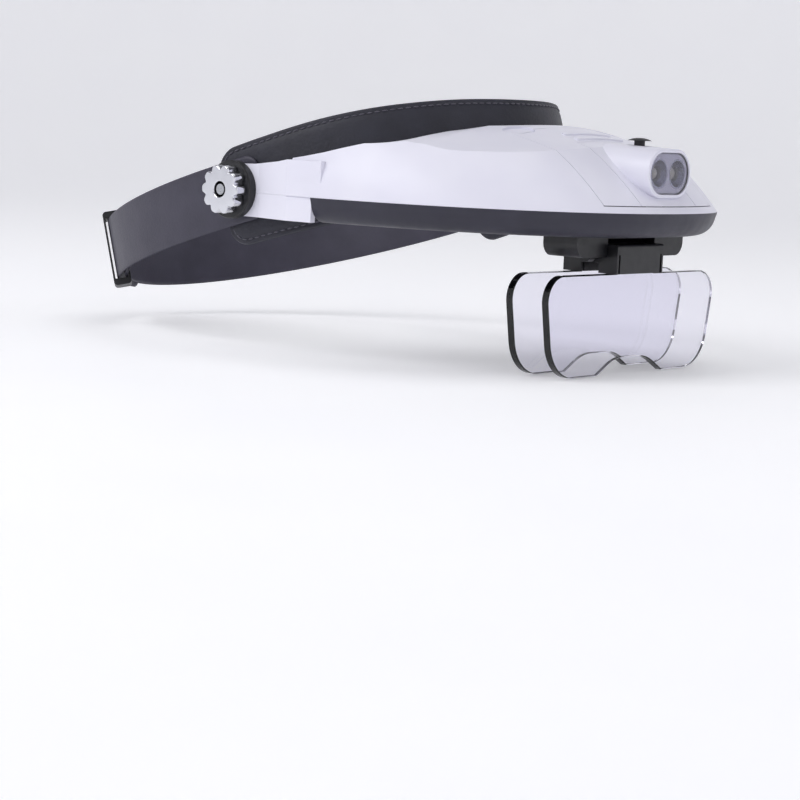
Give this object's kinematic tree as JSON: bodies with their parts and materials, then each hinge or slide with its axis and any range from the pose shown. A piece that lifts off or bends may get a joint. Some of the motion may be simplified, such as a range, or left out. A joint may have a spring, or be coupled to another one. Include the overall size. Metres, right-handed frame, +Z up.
{
  "type": "head visor magnifier",
  "caption": "Head-worn visor magnifier: tilting white brim with a lamp pod, clear lens plates on a hinged holder, padded headband and clamp knobs.",
  "frame": {"origin": "midway between the two pivot studs, on their common axis, inside the head opening", "axes": "+X to the wearer's left, -Y to the front, +Z up, with the visor level"},
  "size_m": [0.183, 0.2672, 0.0991],
  "materials": {
    "shell_white": "satin moulded ABS",
    "case_charcoal": "fine-textured moulded ABS",
    "bracket_black": "matt moulded nylon",
    "strap_charcoal": "smooth charcoal strap",
    "pad_leatherette": "grained black leatherette with stitching",
    "foam_black": "fabric-faced foam",
    "knob_chrome": "bright plated",
    "steel": "zinc plated",
    "clear_acrylic": "polished clear acrylic",
    "board_green": "solder mask",
    "reflector_chrome": "metallised plastic",
    "led_epoxy": "clear epoxy",
    "cell_jacket": "plain printed jacket",
    "contact_nickel": "nickel plated",
    "patch_fabric": "hook and loop"
  },
  "bodies": {
    "headband": {"band_core": "case_charcoal", "band_cover": "pad_leatherette", "forehead_pad": "foam_black", "hook_patch": "patch_fabric", "loop_patch": "patch_fabric", "pivot_boss_left": "bracket_black", "pivot_boss_right": "bracket_black", "pivot_stud_left": "steel", "pivot_stud_right": "steel", "rear_strap_left": "strap_charcoal", "rear_strap_right": "strap_charcoal", "strap_buckle": "bracket_black", "thrust_washer_left": "bracket_black", "thrust_washer_right": "bracket_black"},
    "knob_right": {"clamp_knob_right": "knob_chrome"},
    "knob_left": {"clamp_knob_left": "knob_chrome"},
    "battery_door": {"battery_door": "shell_white"},
    "switch": {"switch_button": "bracket_black"},
    "lens_holder": {"lens_holder": "bracket_black"},
    "front_lens": {"front_lens": "clear_acrylic"},
    "rear_lens": {"rear_lens": "clear_acrylic"},
    "visor": {"battery_cell_1": "cell_jacket", "battery_cell_2": "cell_jacket", "battery_tray": "bracket_black", "bracket_screws": "steel", "case_screws": "steel", "contact_plates": "contact_nickel", "contact_springs": "contact_nickel", "friction_washer_left": "bracket_black", "friction_washer_right": "bracket_black", "hinge_pin": "steel", "lamp_bezel": "shell_white", "lamp_board": "board_green", "lamp_housing": "shell_white", "lamp_window": "clear_acrylic", "led_left": "led_epoxy", "led_right": "led_epoxy", "lens_bracket": "bracket_black", "lower_case": "case_charcoal", "reflector_left": "reflector_chrome", "reflector_right": "reflector_chrome", "switch_body": "bracket_black", "visor_shell": "shell_white"}
  },
  "joints": [
    {"name": "visor_tilt", "type": "hinge", "parent": "headband", "child": "visor", "pos_m": [0, 0, 0], "axis": [-1, 0, 0], "range_deg": [-8, 75]},
    {"name": "knob_right_turn", "type": "hinge", "parent": "headband", "child": "knob_right", "pos_m": [-0.0915, 0, 0], "axis": [-1, 0, 0], "continuous": true},
    {"name": "knob_left_turn", "type": "hinge", "parent": "headband", "child": "knob_left", "pos_m": [0.0915, 0, 0], "axis": [1, 0, 0], "continuous": true},
    {"name": "battery_door_lift", "type": "slide", "parent": "visor", "child": "battery_door", "axis": [0, 0, 1], "range_m": [0, 0.015]},
    {"name": "switch_press", "type": "slide", "parent": "visor", "child": "switch", "axis": [0, 0, -1], "range_m": [0, 0.0012], "stiffness_N_per_m": 400},
    {"name": "lens_holder_tilt", "type": "hinge", "parent": "visor", "child": "lens_holder", "pos_m": [0, -0.116, -0.0154], "axis": [-1, 0, 0], "range_deg": [-10, 10]},
    {"name": "front_lens_pull", "type": "slide", "parent": "lens_holder", "child": "front_lens", "axis": [0, 0, -1], "range_m": [0, 0.012]},
    {"name": "rear_lens_pull", "type": "slide", "parent": "lens_holder", "child": "rear_lens", "axis": [0, 0, -1], "range_m": [0, 0.012]}
  ]
}
